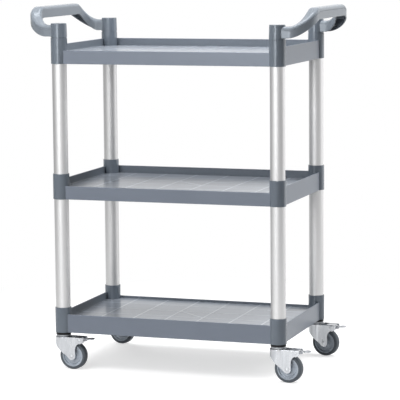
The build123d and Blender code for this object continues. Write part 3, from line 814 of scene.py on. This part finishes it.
# Piece, body it moves with, material slot, CAD node it stands for
CASTER = [
    (race(), "frame", "zinc_steel", "upper_race"),
    (fork(), "caster", "zinc_steel", "fork"),
    (axle_bolt(), "caster", "bright_steel", "axle_bolt"),
    (axle_nut(), "caster", "bright_steel", "axle_nut"),
    (brake_pin(), "caster", "bright_steel", "brake_pin"),
    (wheel_hub(), "wheel", "hub_plastic", "wheel_hub"),
    (tyre(), "wheel", "tyre_rubber", "tyre"),
    (brake_pedal(), "brake", "zinc_steel", "brake_pedal"),
]
bush = caster_bush()
bushes = []
for corner, (side_x, side_y, swivel) in CORNERS.items():
    upright_axis = Vector((side_x * COLUMN_X / 2, side_y * COLUMN_Y / 2, 0))
    foot = TRAY_BASE + SOCKET_DEPTH + SLEEVE_WEB
    for storey, height in (("lower", foot), ("upper", foot + SHELF_PITCH)):
        set_piece(tube, f"{corner}_{storey}_upright", "frame", f"{corner}_{storey}_tube",
                  Matrix.Translation(upright_axis + Vector((0, 0, height))))
    place = Matrix.Translation(upright_axis) @ Matrix.Rotation(-radians(swivel), 4, "Z")
    bushes.append(copied(bush, place))
    for pattern, body, slot, node in CASTER:
        on = body if body == "frame" else f"{corner}_{body}"
        set_piece(pattern, f"{corner}_{pattern.name}", on, f"{corner}_{node}", place)
    for node in ("caster_stem", "bearing_balls", "axle_sleeve"):
        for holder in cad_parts[f"{corner}_{node}"].material_slots:
            holder.material = bolt_zinc
bushes = joined(bushes)
bushes.name = "caster_bush_set"
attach(bushes, "frame")
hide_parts("caster_bushes")
for pattern in [tray, tube, handle, bush] + [row[0] for row in CASTER]:
    bpy.data.objects.remove(pattern)


# Studio: pale floor, white surroundings, soft lights all round, grey cards for the gloss to mirror

def studio_white(tree, strength):
    """Strength 1 for what the camera sees or a gloss mirrors to it, and the given strength as light."""
    ray = add(tree, "LightPath")
    unspread = add(tree, "Math", {"operation": "LESS_THAN", 1: 0.5}, {0: ray.outputs["Diffuse Depth"]})
    mirrored = add(tree, "Math", {"operation": "MULTIPLY"},
                   {0: ray.outputs["Is Glossy Ray"], 1: unspread.outputs[0]})
    seen = add(tree, "Math", {"operation": "MAXIMUM"},
               {0: ray.outputs["Is Camera Ray"], 1: mirrored.outputs[0]})
    seen = add(tree, "Math", {"operation": "MAXIMUM"},
               {0: seen.outputs[0], 1: ray.outputs["Is Transmission Ray"]})
    return add(tree, "MapRange", {"To Min": strength, "To Max": 1.0}, {"Value": seen.outputs[0]})


world = bpy.data.worlds.new("studio")
bpy.context.scene.world = world
world.use_nodes = True
world.node_tree.nodes.clear()
level = studio_white(world.node_tree, 0.01)
sky = add(world.node_tree, "Background", {"Color": (1, 1, 1, 1)}, {"Strength": level.outputs[0]})
add(world.node_tree, "OutputWorld", {}, {"Surface": sky.outputs[0]})

bpy.ops.object.select_all(action="DESELECT")
bpy.ops.mesh.primitive_plane_add(size=12)
floor = settle("floor")
# Matt white paper: it keeps the shadow near the trolley and fades to plain white between 0.5 and 1.3 m out
paper, tree, place = material("white_paper")
apart = add(tree, "VectorMath", {"operation": "LENGTH"}, {0: place})
fade = add(tree, "MapRange", {"From Min": 0.5, "From Max": 1.3, "interpolation_type": "SMOOTHSTEP"},
           {"Value": apart.outputs["Value"]})
matt = add(tree, "BsdfDiffuse", {"Color": (0.6, 0.6, 0.6, 1)})
shade = studio_white(tree, 0.03)
dim = add(tree, "Math", {"operation": "MULTIPLY", 1: 0.6}, {0: shade.outputs[0]})
lift = add(tree, "Emission", {"Color": (1, 1, 1, 1)}, {"Strength": dim.outputs[0]})
near = add(tree, "AddShader", {}, {0: matt.outputs[0], 1: lift.outputs[0]})
far = add(tree, "Emission", {"Color": (1, 1, 1, 1)}, {"Strength": shade.outputs[0]})
mixed = add(tree, "MixShader", {}, {0: fade.outputs[0], 1: near.outputs[0], 2: far.outputs[0]})
add(tree, "OutputMaterial", {}, {"Surface": mixed.outputs[0]})
floor.data.materials.append(paper)


def around(azimuth, distance, height):
    """A place round the trolley, azimuth in degrees from the front towards the right."""
    return Vector((sin(radians(azimuth)) * distance, -cos(radians(azimuth)) * distance, height))


def facing(place, aim):
    return (Vector(aim) - place).to_track_quat("-Z", "Y").to_euler()


def soft_light(name, place, aim, width, tall, radiance, mirrored=True):
    """A rectangular softbox; its power is what its size and radiance need."""
    data = bpy.data.lights.new(name, "AREA")
    data.shape, data.size, data.size_y, data.energy = "RECTANGLE", width, tall, radiance * pi * width * tall
    lamp = bpy.data.objects.new(name, data)
    lamp.location, lamp.rotation_euler = place, facing(place, aim)
    lamp.visible_camera, lamp.visible_glossy = False, mirrored
    bpy.context.collection.objects.link(lamp)


def grey_card(name, place, width, tall, strength):
    """A card that only gloss mirrors: it lights nothing, shades nothing and isn't seen."""
    bpy.ops.object.select_all(action="DESELECT")
    bpy.ops.mesh.primitive_plane_add(
        size=1, location=place, rotation=facing(place, (0, 0, place.z)), scale=(width, tall, 1))
    card = settle(name)
    board, tree, _ = material(name)
    glow = add(tree, "Emission", {"Color": (1, 1, 1, 1), "Strength": strength})
    add(tree, "OutputMaterial", {}, {"Surface": glow.outputs[0]})
    card.data.materials.append(board)
    card.visible_camera = card.visible_diffuse = card.visible_shadow = card.visible_transmission = False


soft_light("key_softbox", Vector((-0.35, -3.2, 1.2)), (-0.35, 0, 1.2), 1.2, 1.4, 6.6)
soft_light("key_strip", Vector((0.05, -3.3, 1.2)), (0.05, 0, 1.2), 0.4, 1.4, 3.0)
soft_light("key_wing", Vector((-1.55, -3.1, 1.2)), (-1.1, 0, 1.2), 1.2, 1.4, 1.2)
soft_light("front_fill", around(-38, 2.4, 2.1), (0, 0, 0.5), 1.6, 1.2, 3.4, mirrored=False)
soft_light("front_top", around(-30, 1.5, 2.7), (0, 0, 0.5), 1.4, 1.0, 8.2, mirrored=False)
soft_light("overhead_softbox", Vector((0, 0, 2.6)), (0, 0, 0), 1.0, 1.0, 7.0)
soft_light("rear_softbox", around(125, 2.0, 1.0), (0, 0, 0.8), 1.6, 1.8, 1.17)
soft_light("right_top", around(120, 1.5, 2.6), (0, 0, 0.5), 1.2, 1.2, 8.8, mirrored=False)
soft_light("right_back", around(105, 2.0, 1.8), (0, 0, 0.5), 0.6, 1.2, 5.0, mirrored=False)
soft_light("rear_top", around(180, 1.2, 3.0), (0, 0, 0.4), 1.6, 1.0, 2.1, mirrored=False)
soft_light("left_rear_fill", around(-135, 2.6, 1.3), (0, 0, 0.5), 1.8, 1.6, 3.5, mirrored=False)
grey_card("right_card", Vector((0.81, -0.45, 0.8)), 0.78, 1.6, 0.64)
grey_card("left_card", Vector((-0.95, -0.15, 0.8)), 1.1, 1.6, 0.6)
grey_card("front_card", around(0, 4.6, 2.5), 14.0, 5.0, 0.02)

# Camera at the photograph's viewing angle, its focal length in pixels of a picture 400 wide
azimuth, pitch, roll = radians(18.786), radians(7.313), radians(-0.479)
aim, distance = Vector((0.0259, 0, 0.4318)), 5.4322
focal_length, picture_width, sensor_width = 2068.2, 400, 36
look = Vector((-sin(azimuth) * cos(pitch), cos(azimuth) * cos(pitch), -sin(pitch)))
right = Vector((cos(azimuth), sin(azimuth), 0))
up = right.cross(look)
right, up = right * cos(roll) + up * sin(roll), up * cos(roll) - right * sin(roll)
data = bpy.data.cameras.new("camera")
data.sensor_width, data.lens = sensor_width, focal_length * sensor_width / picture_width
data.clip_end = 100
camera = bpy.data.objects.new("camera", data)
axes = Matrix((right, up, -look)).transposed().to_4x4()
camera.matrix_world = Matrix.Translation(aim - look * distance) @ axes
bpy.context.collection.objects.link(camera)
bpy.context.scene.camera = camera
bpy.context.scene.view_settings.view_transform = "Standard"
